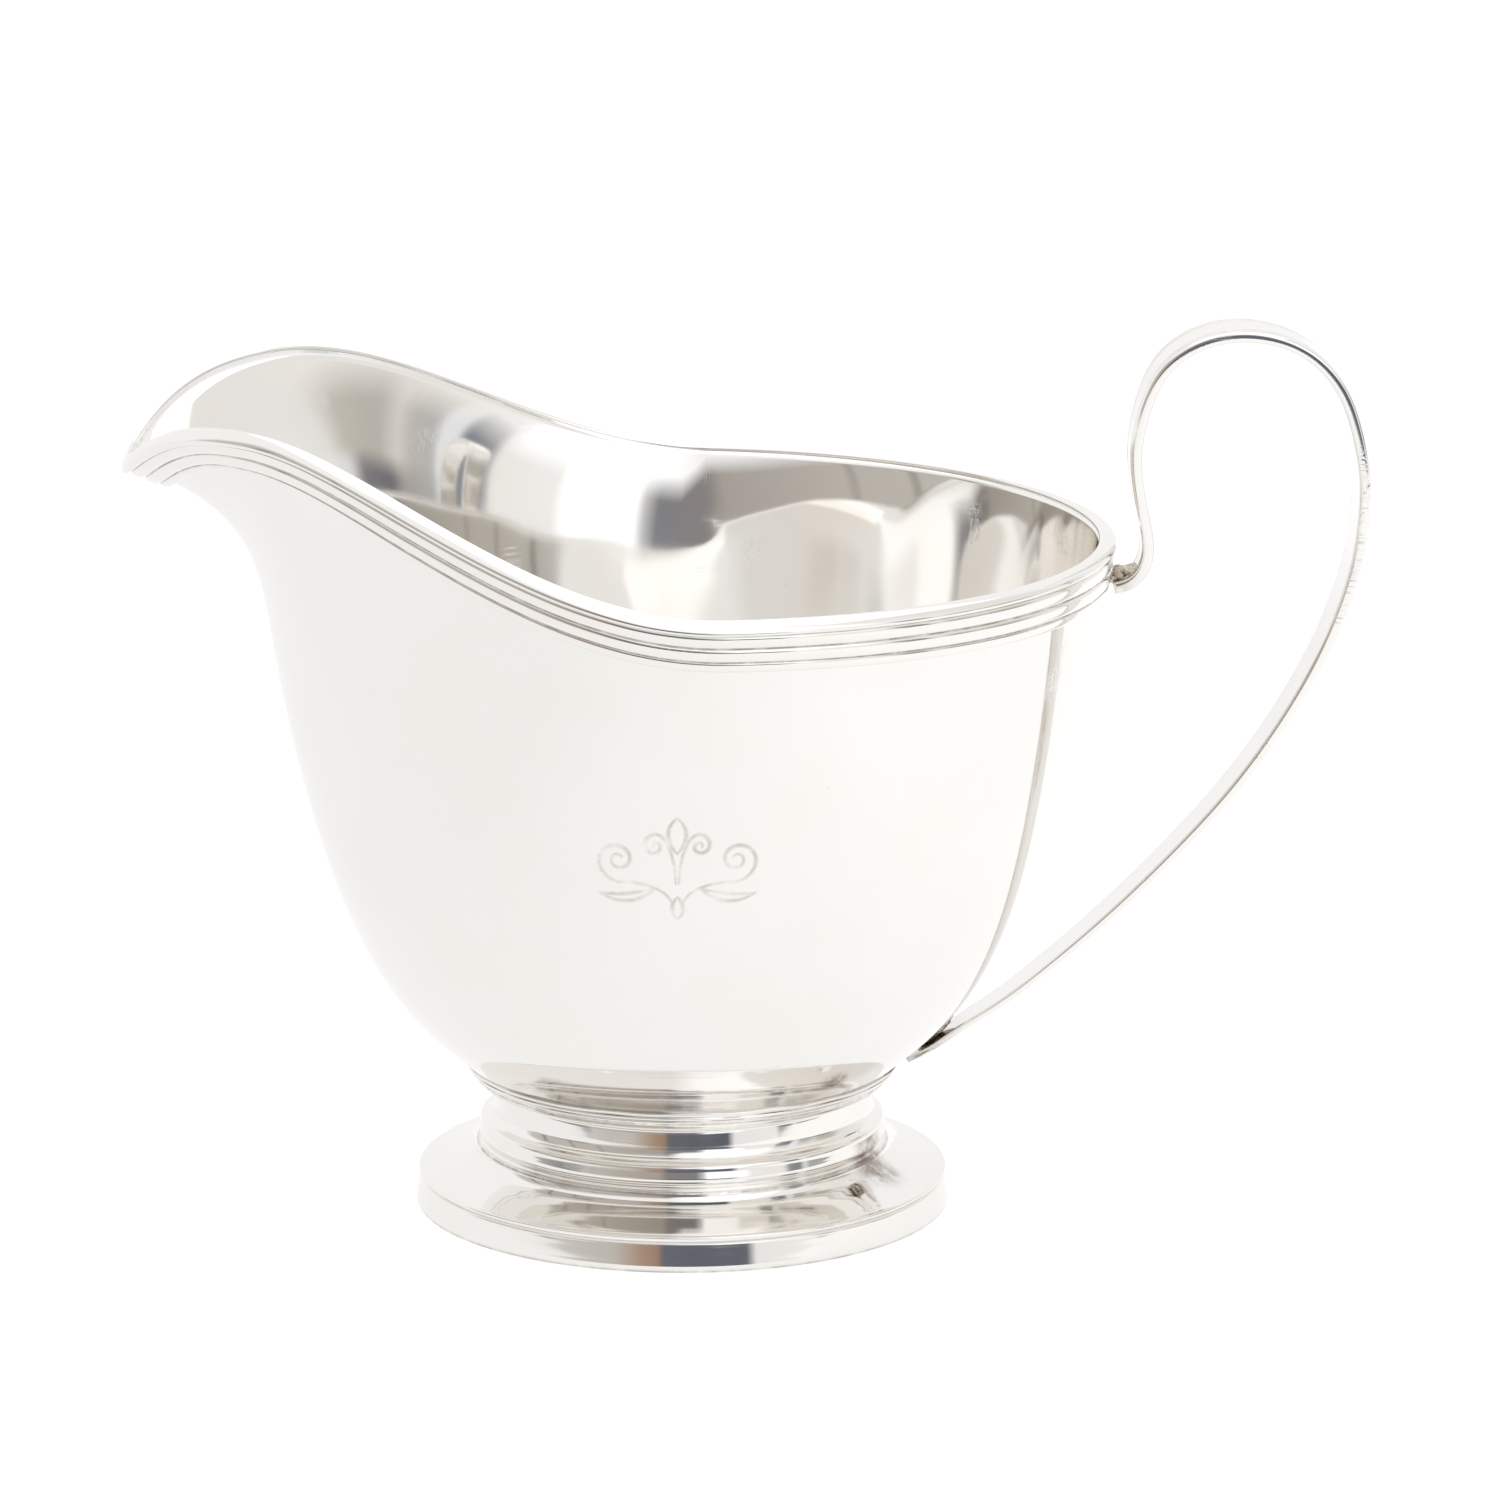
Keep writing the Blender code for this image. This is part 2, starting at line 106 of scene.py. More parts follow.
def smooth_path(knots, steps):
    """Catmull-Rom curve through the knots: between knots b and c, a cubic whose slope at b is half c - a."""
    knots = np.array(knots, dtype=float)
    padded = np.vstack([2 * knots[0] - knots[1], knots, 2 * knots[-1] - knots[-2]])
    a, b, c, d = (padded[i : len(padded) - 3 + i, None, :] for i in range(4))
    t = np.linspace(0.0, 1.0, steps, endpoint=False)[None, :, None]
    bend, twist = 2 * a - 5 * b + 4 * c - d, 3 * b - a - 3 * c + d
    path = 0.5 * (2 * b + (c - a) * t + bend * t**2 + twist * t**3)
    return np.vstack([path.reshape(-1, knots.shape[1]), knots[-1:]])


def evened(path, count):
    """The path's points taken again at equal steps of its length; its first two columns are the place."""
    steps = np.linalg.norm(np.diff(path[:, :2], axis=0), axis=1)
    run = np.concatenate([[0.0], np.cumsum(steps)])
    wanted = np.linspace(0.0, 1.0, count) * run[-1]
    return np.stack([np.interp(wanted, run, path[:, k]) for k in range(path.shape[1])], axis=1)


def relaxed(path, width):
    """The path averaged along itself with a bell-shaped weight this many points wide, its two ends held."""
    reach = np.arange(-3 * width, 3 * width + 1)
    weight = np.exp(-0.5 * (reach / width) ** 2)
    weight /= weight.sum()
    before = 2 * path[0] - path[3 * width : 0 : -1]
    after = 2 * path[-1] - path[-2 : -3 * width - 2 : -1]
    padded = np.vstack([before, path, after])
    columns = [np.convolve(padded[:, k], weight, mode="valid") for k in range(path.shape[1])]
    return np.stack(columns, axis=1)


BELLY = bezier(
    (SEAT_RADIUS, SEAT_Z),
    (SEAT_RADIUS + LOW_PULL[0], SEAT_Z + LOW_PULL[1]),
    (MOUTH_RADIUS - HIGH_PULL[0], MOUTH_Z - HIGH_PULL[1]),
    (MOUTH_RADIUS, MOUTH_Z),
    4000,
)
UNDERSIDE = bezier(
    (0.0, FLOOR_Z),
    (14.0 * MM, FLOOR_Z),
    (SEAT_RADIUS - UNDERSIDE_PULL * LOW_PULL[0], SEAT_Z - UNDERSIDE_PULL * LOW_PULL[1]),
    (SEAT_RADIUS, SEAT_Z),
    400,
)


def belly_radius(z):
    """The turned bowl's outer radius at a height above its seat."""
    return np.interp(z, BELLY[:, 1], BELLY[:, 0])


def rim_line(angle):
    """The rim's crest: a low round mouth, raised by a half cosine towards the spout, whose tip droops.

    The droop, the tip's reach and the spout's reach are bell curves of the angle from the spout.
    """
    away = 180.0 - np.degrees(np.abs((angle + math.pi) % (2 * math.pi) - math.pi))
    rise = np.clip((CLIMB_FROM - away) / (CLIMB_FROM - CLIMB_TO), 0.0, 1.0)
    z = CREST_Z + SPOUT_RISE * 0.5 * (1 - np.cos(math.pi * rise))
    z = z - TIP_DROOP * np.exp(-((away / DROOP_WIDTH) ** 2))
    radius = CREST_RADIUS + SIDE_SWELL * np.sin(angle) ** 2
    radius = radius + TIP_REACH * np.exp(-((away / TIP_WIDTH) ** 2))
    radius = radius + SPOUT_REACH * np.exp(-((away / SPOUT_WIDTH) ** 2))
    return radius * MM, z * MM


def wall_point(angle, z):
    """The bowl's outer face: the turned belly plus a flare that grows as a power of the climb to the rim."""
    rim_radius, rim_z = rim_line(angle)
    climb = np.clip((z - FLARE_FROM_Z) / (rim_z - FLARE_FROM_Z), 0.0, None)
    radius = belly_radius(z) + (rim_radius - belly_radius(rim_z)) * climb**FLARE_SHARPNESS
    return np.stack([radius * np.cos(angle), radius * np.sin(angle), z + 0 * angle], axis=-1)


def wall_normal(angle, z):
    """The outward direction of the bowl's outer face, from the cross product of its two slopes."""
    turn, lift = 1e-3, 2e-5
    across = wall_point(angle + turn, z) - wall_point(angle - turn, z)
    up = wall_point(angle, z + lift) - wall_point(angle, z - lift)
    normal = np.cross(across, up)
    return normal / np.linalg.norm(normal, axis=-1, keepdims=True)


def heights_below_rim(angle, distances):
    """Heights on the wall at each distance from the crest, measured square to the rim: a row per distance."""
    _, rim_z = rim_line(angle)
    ends = [wall_point(angle + step, rim_line(angle + step)[1]) for step in (-1e-4, 1e-4)]
    along = ends[1] - ends[0]
    along = along / np.linalg.norm(along, axis=-1, keepdims=True)
    drops = np.linspace(0.0, 14.0 * MM, 281)
    heights = rim_z[:, None] - drops[None, :]
    steps = np.diff(wall_point(np.repeat(angle[:, None], len(drops), axis=1), heights), axis=1)
    lengths = np.linalg.norm(steps, axis=2)
    run = np.concatenate([np.zeros((len(angle), 1)), np.cumsum(lengths, axis=1)], axis=1)
    down = steps[:, 0] / lengths[:, :1]
    square = np.sqrt(1 - np.sum(down * along, axis=1) ** 2)
    rows = []
    for distance in distances:
        wanted = (distance / square)[:, None]
        last = np.clip((run < wanted).sum(axis=1) - 1, 0, len(drops) - 2)[:, None]
        before, after = np.take_along_axis(run, last, 1), np.take_along_axis(run, last + 1, 1)
        share = ((wanted - before) / (after - before))[:, 0]
        rows.append(rim_z - (last[:, 0] + share) * (drops[1] - drops[0]))
    return np.stack(rows)


def bowl_offset(radii, gap):
    """Radius and height of points a gap outside the bowl's underside and belly, at the given radii."""
    section = np.vstack([UNDERSIDE[:-1], BELLY])
    tangent = np.gradient(section, axis=0)
    tangent /= np.linalg.norm(tangent, axis=1)[:, None]
    shifted = section + gap * np.stack([tangent[:, 1], -tangent[:, 0]], axis=1)
    return np.stack([np.interp(radii, section[:, 0], shifted[:, k]) for k in (0, 1)], axis=1)


def ripple(points, length, height, seed):
    """A gentle wobble: eight plane sine waves in random directions, about this long and this high in all."""
    draw = np.random.default_rng(seed)
    directions = draw.normal(size=(8, 3))
    directions /= np.linalg.norm(directions, axis=1)[:, None]
    waves = 2 * math.pi / (length * draw.uniform(0.6, 1.6, 8))
    phases = draw.uniform(0, 2 * math.pi, 8)
    return height * np.sin((points @ directions.T) * waves + phases).sum(axis=-1) / math.sqrt(8)


def piece(name, points, node, material, wrap_rows=False, tarnish=None):
    """A closed skin over a grid of points whose columns close into rings.

    The rows either close into a torus or end in a fan of triangles round a middle point. The skin is turned
    outwards by the sign of its volume.
    """
    rows, columns = points.shape[:2]
    r = np.arange(rows if wrap_rows else rows - 1)[:, None]
    c = np.arange(columns)[None, :]
    here, there = r * columns, ((r + 1) % rows) * columns
    ahead = (c + 1) % columns
    quads = np.stack([here + c, here + ahead, there + ahead, there + c], axis=-1).reshape(-1, 4)
    flat = points.reshape(-1, 3)
    shade = np.zeros(len(flat)) if tarnish is None else tarnish.reshape(-1)
    fans = np.zeros((0, 3), int)
    if not wrap_rows:
        first, last = len(flat), len(flat) + 1
        edge = (rows - 1) * columns
        ring, following = np.arange(columns), (np.arange(columns) + 1) % columns
        start_fan = np.stack([following, ring, np.full(columns, first)], axis=1)
        end_fan = np.stack([edge + ring, edge + following, np.full(columns, last)], axis=1)
        fans = np.vstack([start_fan, end_fan])
        flat = np.vstack([flat, points[0].mean(axis=0), points[-1].mean(axis=0)])
        shade = np.concatenate([shade, [shade[0], shade[-1]]])
    triangles = np.vstack([quads[:, [0, 1, 2]], quads[:, [0, 2, 3]], fans])
    if np.linalg.det(flat[triangles]).sum() < 0:
        quads, fans = quads[:, ::-1], fans[:, ::-1]
    corners = np.concatenate([quads.ravel(), fans.ravel()])
    sizes = np.concatenate([np.full(len(quads), 4), np.full(len(fans), 3)])
    mesh = bpy.data.meshes.new(name)
    mesh.vertices.add(len(flat))
    mesh.vertices.foreach_set("co", (flat + [AXIS_X, 0.0, 0.0]).astype(np.float32).ravel())
    mesh.loops.add(len(corners))
    mesh.loops.foreach_set("vertex_index", corners.astype(np.int32))
    mesh.polygons.add(len(sizes))
    mesh.polygons.foreach_set("loop_start", (np.cumsum(sizes) - sizes).astype(np.int32))
    mesh.polygons.foreach_set("use_smooth", np.ones(len(sizes), bool))
    layer = mesh.attributes.new("tarnish", "FLOAT", "POINT")
    layer.data.foreach_set("value", shade.astype(np.float32))
    mesh.update(calc_edges=True)
    mesh.materials.append(material)
    obj = bpy.data.objects.new(name, mesh)
    bpy.context.scene.collection.objects.link(obj)
    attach(obj, "root")
    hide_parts(node)
    return obj


def turned(profile, angles):
    """A profile of radii and heights turned about the foot's axis: one row per profile point."""
    radius, z = profile[:, 0, None], profile[:, 1, None]
    return np.stack([radius * np.cos(angles), radius * np.sin(angles), z + 0 * angles], axis=-1)


# ---------------------------------------------------------------- materials


class Nodes:
    """A short way of laying nodes and joining them."""

    def __init__(self, tree):
        self.tree = tree

    def add(self, kind, inputs=None, **settings):
        node = self.tree.nodes.new(kind)
        for key, value in settings.items():
            setattr(node, key, value)
        for key, value in (inputs or {}).items():
            if isinstance(value, bpy.types.NodeSocket):
                self.tree.links.new(value, node.inputs[key])
            else:
                node.inputs[key].default_value = value
        return node

    def math(self, operation, a, b=0.0, clamp=False):
        return self.add("ShaderNodeMath", {0: a, 1: b}, operation=operation, use_clamp=clamp).outputs[0]

    def ramp(self, value, low, high):
        """A straight rise from 0 at low to 1 at high."""
        inputs = {"Value": value, "From Min": low, "From Max": high}
        return self.add("ShaderNodeMapRange", inputs).outputs["Result"]

    def noise(self, place, scale, detail=3.0, roughness=0.5, distortion=0.0):
        inputs = {"Vector": place, "Scale": scale, "Detail": detail}
        inputs |= {"Roughness": roughness, "Distortion": distortion}
        return self.add("ShaderNodeTexNoise", inputs).outputs["Fac"]

    def mix(self, share, a, b):
        node = self.add("ShaderNodeMix", data_type="RGBA")
        for socket, value in ((node.inputs[0], share), (node.inputs[6], a), (node.inputs[7], b)):
            if isinstance(value, bpy.types.NodeSocket):
                self.tree.links.new(value, socket)
            else:
                socket.default_value = value
        return node.outputs[2]

    def dress(self, shader, color, dull, bump, metallic):
        self.tree.links.new(color, shader.inputs["Base Color"])
        self.tree.links.new(dull, shader.inputs["Roughness"])
        self.tree.links.new(bump, shader.inputs["Normal"])
        shader.inputs["Metallic"].default_value = metallic


def new_material(name):
    """A material with its nodes, its Principled shader and the place on the object, in metres."""
    material = bpy.data.materials.new(name)
    material.use_nodes = True
    n = Nodes(material.node_tree)
    shader = material.node_tree.nodes["Principled BSDF"]
    return material, n, shader, n.add("ShaderNodeTexCoord").outputs["Object"]


# Scratches run in three directions: the turn of each lay and how finely it is cut across each axis
SCRATCH_LAYS = [
    ((0.1, 0.2, 0.05), (18.0, 18.0, 620.0)),
    ((0.5, 0.9, 0.4), (30.0, 520.0, 60.0)),
    ((1.1, 0.3, 1.2), (480.0, 40.0, 40.0)),
]
# Cloudy polish: the share of red, green and blue left where it is dullest
BREATH = (0.985, 0.975, 0.955)


def silver(name, color, tarnish_color, polish, scratch_depth, scratched, pitted):
    """Polished silver: hairline scratches, pits, cloudy polish and brown tarnish in its recesses.

    A scratch is where a noise stretched along one direction crosses its middle value, thinned by a second
    noise.
    """
    material, n, shader, place = new_material(name)
    scratches = None
    for turn, stretch in SCRATCH_LAYS:
        laid = n.add("ShaderNodeMapping", {"Vector": place, "Rotation": turn, "Scale": stretch}).outputs[0]
        strands = n.noise(laid, 3.0, 2.0, 0.6, 0.15)
        line = n.math("ABSOLUTE", n.math("SUBTRACT", strands, 0.5))
        hair = n.math("SUBTRACT", 1.0, n.ramp(line, 0.0, 0.012), clamp=True)
        kept = n.ramp(n.noise(place, 170.0, 1.0), 1.0 - scratched, 1.25 - scratched)
        thinned = n.math("MULTIPLY", hair, kept)
        scratches = thinned if scratches is None else n.math("MAXIMUM", scratches, thinned)
    cells = n.add("ShaderNodeTexVoronoi", {"Vector": place, "Scale": 330.0, "Randomness": 1.0})
    pit = n.math("SUBTRACT", 1.0, n.ramp(cells.outputs["Distance"], 0.03, 0.09), clamp=True)
    pit = n.math("MULTIPLY", pit, n.ramp(n.noise(place, 110.0, 2.0), 1.0 - pitted, 1.1 - pitted))
    cloud = n.noise(place, 55.0, 4.0, 0.6)
    shade = n.add("ShaderNodeAttribute", attribute_name="tarnish").outputs["Fac"]
    patchy = n.math("MULTIPLY", shade, n.ramp(n.noise(place, 420.0, 3.0, 0.65), 0.25, 0.6), clamp=True)
    dirt = n.math("MAXIMUM", patchy, n.math("MULTIPLY", pit, 0.45))
    dulled = [channel * share for channel, share in zip(color, BREATH)]
    breath = n.mix(n.ramp(cloud, 0.35, 0.75), (*color, 1.0), (*dulled, 1.0))
    tinted = n.mix(dirt, breath, (*tarnish_color, 1.0))
    dull = n.math("ADD", polish, n.math("MULTIPLY", cloud, 0.05))
    dull = n.math("ADD", dull, n.math("MULTIPLY", scratches, 0.10))
    dull = n.math("ADD", dull, n.math("MULTIPLY", dirt, 0.30))
    height = n.math("ADD", n.math("MULTIPLY", scratches, -1.0), n.math("MULTIPLY", pit, -1.5))
    bump = n.add("ShaderNodeBump", {"Height": height, "Strength": 0.35, "Distance": scratch_depth}).outputs[0]
    n.dress(shader, tinted, dull, bump, metallic=1.0)
    return material


def old_solder(name):
    """Tarnished solder: a grainy mix of grey silver, ochre and near black, rough where it is dark."""
    material, n, shader, place = new_material(name)
    grain = n.noise(place, 1300.0, 4.0, 0.7, 0.3)
    patch = n.noise(place, 520.0, 3.0, 0.6)
    warm = n.mix(n.ramp(patch, 0.38, 0.6), (0.72, 0.68, 0.62, 1.0), (0.50, 0.41, 0.31, 1.0))
    color = n.mix(n.ramp(grain, 0.54, 0.66), warm, (0.17, 0.135, 0.105, 1.0))
    dull = n.math("ADD", 0.22, n.math("MULTIPLY", n.ramp(grain, 0.4, 0.65), 0.3))
    bump = n.add("ShaderNodeBump", {"Height": grain, "Strength": 0.6, "Distance": 0.0003}).outputs[0]
    n.dress(shader, color, dull, bump, metallic=0.9)
    return material


# Colour, tarnish, polish, depth of scratches in metres, and the shares scratched and pitted
bowl_silver = silver("bowl silver", (0.895, 0.880, 0.858), (0.52, 0.46, 0.40), 0.035, 0.00002, 0.36, 0.32)
rim_silver = silver("rim silver", (0.890, 0.875, 0.853), (0.40, 0.35, 0.30), 0.05, 0.00002, 0.36, 0.32)
foot_silver = silver("foot silver", (0.885, 0.868, 0.843), (0.32, 0.27, 0.23), 0.035, 0.00001, 0.32, 0.34)
handle_silver = silver("handle silver", (0.890, 0.875, 0.853), (0.34, 0.30, 0.26), 0.06, 0.00003, 0.42, 0.40)
seam_silver = silver("seam solder", (0.840, 0.820, 0.790), (0.38, 0.33, 0.28), 0.10, 0.00003, 0.40, 0.40)
solder = old_solder("tarnished solder")


# ---------------------------------------------------------------- bowl


def scroll_lines():
    """The engraved scroll's lines, across and up from its middle in mm, with the cut's half width.

    Each arm is a Bezier curve that runs into a spiral whose radius shrinks by a constant rate; leaves are
    Bezier curves. The left half mirrors the right.
    """
    lines = []
    turn = np.linspace(0.0, 3.3 * math.pi, 160)
    radius, bearing = 2.35 * np.exp(-0.16 * turn), turn - 0.5 * math.pi
    swirl = np.stack([5.6 + radius * np.cos(bearing), 0.9 + radius * np.sin(bearing)], axis=1)
    arm = bezier((0.35, -4.3), (0.6, -2.2), (3.0, -1.45), tuple(swirl[0]), 60)
    lines.append(np.vstack([arm, swirl[1:]]))
    turn = np.linspace(0.0, 2.6 * math.pi, 120)
    radius, bearing = 1.25 * np.exp(-0.20 * turn), 0.5 * math.pi - turn
    curl = np.stack([2.1 + radius * np.cos(bearing), 2.3 + radius * np.sin(bearing)], axis=1)
    stem = bezier((0.15, -1.6), (0.2, 1.0), (0.9, 3.5), tuple(curl[0]), 50)
    lines.append(np.vstack([stem, curl[1:]]))
    lines.append(bezier((2.2, -2.1), (3.6, -3.6), (5.6, -3.9), (7.6, -2.7), 60))
    lines.append(bezier((2.2, -2.1), (3.9, -2.6), (5.9, -2.9), (7.6, -2.7), 60))
    lines.append(bezier((0.0, 5.2), (1.3, 4.1), (0.9, 2.6), (0.0, 1.5), 50))
    lines.append(bezier((0.0, -5.3), (0.8, -4.6), (0.6, -3.6), (0.0, -3.0), 40))
    cut = []
    for line in lines:
        place = np.linspace(0.0, 1.0, len(line))
        half_width = 0.15 + 0.15 * np.sin(math.pi * place) ** 0.8
        for side in (1.0, -1.0):
            grown = SCROLL_GROWTH * line
            cut.append(np.column_stack([grown[:, 0] * side, grown[:, 1], half_width]))
    return np.vstack(cut)


def engraving(angle, z):
    """How deep the scroll is cut, from 0 to 1: one minus the square of the distance to its nearest line.

    That distance is counted in half widths of the line's cut.
    """
    across = ((angle - SCROLL_ANGLE + math.pi) % (2 * math.pi) - math.pi) * belly_radius(SCROLL_Z) / MM
    up = (z - SCROLL_Z) / MM
    near = (np.abs(across) < SCROLL_HALF_WIDTH / MM) & (np.abs(up) < SCROLL_HALF_HEIGHT / MM)
    depth = np.zeros(np.shape(across))
    lines = scroll_lines()
    aside = across[near][:, None] - lines[None, :, 0]
    above = up[near][:, None] - lines[None, :, 1]
    gap = np.hypot(aside, above) / lines[None, :, 2]
    depth[near] = np.clip(1.0 - gap.min(axis=1) ** 2, 0.0, 1.0)
    return depth


def shell(angles, low_places, belly_heights, flare_shares, top, sink):
    """The bowl's outer face sunk along its normal by a depth, from the floor's middle to the top edge."""
    picked = np.round(low_places * (len(UNDERSIDE) - 1)).astype(int)
    section = UNDERSIDE[picked]
    slope = np.gradient(UNDERSIDE, axis=0)[picked]
    slope /= np.linalg.norm(slope, axis=1)[:, None]
    section = section - sink * np.stack([slope[:, 1], -slope[:, 0]], axis=1)
    floor = turned(section, angles)
    heights = belly_heights[:, None] + 0 * angles[None, :]
    heights = np.vstack([heights, FLARE_FROM_Z + (top[None, :] - FLARE_FROM_Z) * flare_shares[:, None]])
    around = angles[None, :] + 0 * heights
    normal = wall_normal(around, heights)
    wall = wall_point(around, heights) - sink * normal
    return floor, wall, normal, around, heights


def bowl():
    """The bowl: its outer face with the engraving, over the top edge, and its inner face one wall in."""
    fine = SCROLL_STEP / belly_radius(SCROLL_Z)
    half = SCROLL_HALF_WIDTH / belly_radius(SCROLL_Z)
    fine_angles = np.arange(SCROLL_ANGLE - half, SCROLL_ANGLE + half, fine)
    rest = np.linspace(fine_angles[-1], fine_angles[0] + 2 * math.pi, 216)[1:-1]
    angles = np.concatenate([fine_angles, rest])
    top = heights_below_rim(angles, [0.64 * MM])[0]
    low_places = np.array([0.04, 0.15, 0.3, 0.45, 0.6, 0.75, 0.88, 0.96])
    fine_low, fine_high = SCROLL_Z - SCROLL_HALF_HEIGHT, SCROLL_Z + SCROLL_HALF_HEIGHT
    low = SEAT_Z + (fine_low - SEAT_Z) * np.linspace(0.0, 1.0, 38) ** 1.3
    scroll = np.arange(fine_low + SCROLL_STEP, fine_high, SCROLL_STEP)
    high = np.linspace(fine_high, FLARE_FROM_Z, 10)[:-1]
    shares = np.linspace(0.0, 1.0, 27)
    outer_heights = np.concatenate([low, scroll, high])
    floor, wall, normal, around, heights = shell(angles, low_places, outer_heights, shares, top, 0.0)
    cut = engraving(around, heights)
    wall = wall - (CUT_DEPTH * cut + ripple(wall, 22.0 * MM, 0.012 * MM, 3))[..., None] * normal
    inner_heights = SEAT_Z + (FLARE_FROM_Z - SEAT_Z) * np.linspace(0.0, 1.0, 40)[:-1] ** 1.2
    under, inner, normal, around, heights = shell(angles, low_places, inner_heights, shares, top, WALL)
    dent = np.hypot((around - DENT_ANGLE) * DENT_RADIUS, heights / MM - DENT_Z) / DENT_SIZE
    shove = DENT_DEPTH * np.exp(-(dent**2)) + ripple(inner, 17.0 * MM, 0.016 * MM, 5)
    inner = inner + shove[..., None] * normal
    rows = np.concatenate([floor, wall, inner[::-1], under[::-1]])
    clean = [np.zeros(part.shape[:2]) for part in (floor, inner, under)]
    shade = np.concatenate([clean[0], 0.75 * cut, clean[1], clean[2]])
    return piece("bowl", rows, "body", bowl_silver, tarnish=shade)


# ---------------------------------------------------------------- rim moulding


def rim_moulding():
    """The reeded wire: distances below the crest and outwards, carried round the wall along its normal."""
    front = [(0.30, -0.80), (0.10, -0.72), (0.02, -0.4), (0.0, 0.0), (0.05, 0.5)]
    front += [(0.22, 0.95), (0.50, 1.2), (0.80, 1.12), (0.98, 0.9)]
    reed = [(0.13, 0.82), (0.42, 1.0), (0.875, 1.06), (1.33, 1.0), (1.62, 0.82)]
    grooves = (1.1, 2.85, 4.6)
    for groove in grooves:
        front += [(groove, 0.60)]
        if groove < grooves[-1]:
            front += [(groove + below, out) for below, out in reed]
    front += [(4.72, 0.74), (4.95, 0.83), (5.3, 0.84), (5.62, 0.76), (5.82, 0.55), (5.9, 0.32)]
    back = [(5.9, 0.3), (4.0, 0.3), (2.0, 0.3), (0.7, 0.3), (0.6, 0.2), (0.6, -0.7)]
    section = np.vstack([smooth_path(front, 4), np.array(back)]) * MM
    angles = np.linspace(0.0, 2 * math.pi, 640, endpoint=False)
    heights = heights_below_rim(angles, section[:, 0])
    around = angles[None, :] + 0 * heights
    normal = wall_normal(around, heights)
    points = wall_point(around, heights) + section[:, 1, None, None] * normal
    points = points + ripple(points, 9.0 * MM, 0.008 * MM, 8)[..., None] * normal
    grooved = (section[:, 0] > 0.9 * MM) * (section[:, 0] < 4.8 * MM)
    depth = np.interp(section[:, 1] / MM, [0.58, 0.85], [1.0, 0.0]) * grooved
    shade = 0.85 * depth[:, None] + 0 * angles
    return piece("rim_wire", points, "rim_moulding", rim_silver, wrap_rows=True, tarnish=shade)


# ---------------------------------------------------------------- foot


FOOT_COLUMNS = 420


def foot_profile():
    """The foot's section: down its outer side from the lip to the flange, and back up inside."""
    seat = bowl_offset(np.array([23.9, 23.5, 22.9, 21.9, 20.75]) * MM, JOINT_GAP) / MM
    lip_z = seat[0, 1]
    lip = [(23.98, lip_z - 0.08), (24.02, lip_z - 0.2), (23.97, lip_z - 0.34), (23.62, lip_z - 0.45)]
    bead = [(23.44, lip_z - 0.54), (23.44, lip_z - 0.75), (23.32, lip_z - 1.15)]
    bead += [(23.0, lip_z - 1.55), (22.5, lip_z - 1.85)]
    neck = [(21.8, lip_z - 2.08), (21.2, lip_z - 2.28), (20.88, 13.5), (20.8, 13.36), (20.84, 13.1)]
    neck += [(20.92, 12.6), (21.03, 11.9), (21.14, 11.2), (21.36, 10.65)]
    roll = [(21.72, 10.25), (22.15, 10.04), (22.5, 9.92), (22.66, 9.74), (22.74, 9.3)]
    roll += [(22.83, 8.85), (22.91, 8.4), (22.88, 8.12), (22.7, 7.75), (22.56, 7.5)]
    step = [(22.53, 7.32), (22.7, 7.18), (23.02, 7.08), (23.14, 6.9), (23.2, 6.62)]
    flange = [(23.5, 6.15), (24.0, 5.75), (24.7, 5.38), (25.8, 4.92), (27.2, 4.5)]
    flange += [(28.6, 4.18), (29.3, 4.05), (29.58, 3.97), (29.68, 3.82), (29.66, 3.62)]
    runs = [(lip + bead, 5), (neck, 5), (roll, 5), (step, 4), (flange, 6)]
    outside = np.vstack([smooth_path(knots, steps) for knots, steps in runs])
    inside = [(28.5, 3.6), (27.6, 3.7), (25.5, 4.2), (23.7, 4.9), (22.4, 5.6), (21.9, 6.6)]
    inside += [(22.0, 8.2), (21.0, 8.9), (20.3, 9.7), (20.15, 10.6), (20.15, seat[-1, 1] - 0.3)]
    return np.vstack([outside, np.array(inside), seat[::-1]]) * MM


def foot():
    """The foot's section turned about its axis with a little wobble; dark in its corners and at a stain."""
    profile = foot_profile()
    angles = np.linspace(0.0, 2 * math.pi, FOOT_COLUMNS, endpoint=False)
    points = turned(profile, angles)
    points[..., :2] *= (1 + ripple(points, 12.0 * MM, 0.0004, 11))[..., None]
    under_lip = np.exp(-(((profile[:, 1] - 14.95 * MM) / (0.12 * MM)) ** 2))
    on_step = np.exp(-(((profile[:, 1] - 6.95 * MM) / (0.14 * MM)) ** 2))
    shade = 0.8 * (under_lip + on_step)[:, None] + 0 * angles
    east, north = points[..., 0] - STAIN_X, points[..., 1] - STAIN_Y
    along = (east * STAIN_COS - north * STAIN_SIN) / STAIN_OUT
    across = (east * STAIN_SIN + north * STAIN_COS) / STAIN_ROUND
    stain = np.exp(-((along**2 + across**2) ** 2))
    outer = (points[..., 2] > 3.9 * MM) & (points[..., 2] < 9.4 * MM)
    shade = shade + 0.95 * stain * outer
    return piece("pedestal", points, "foot", foot_silver, wrap_rows=True, tarnish=shade)


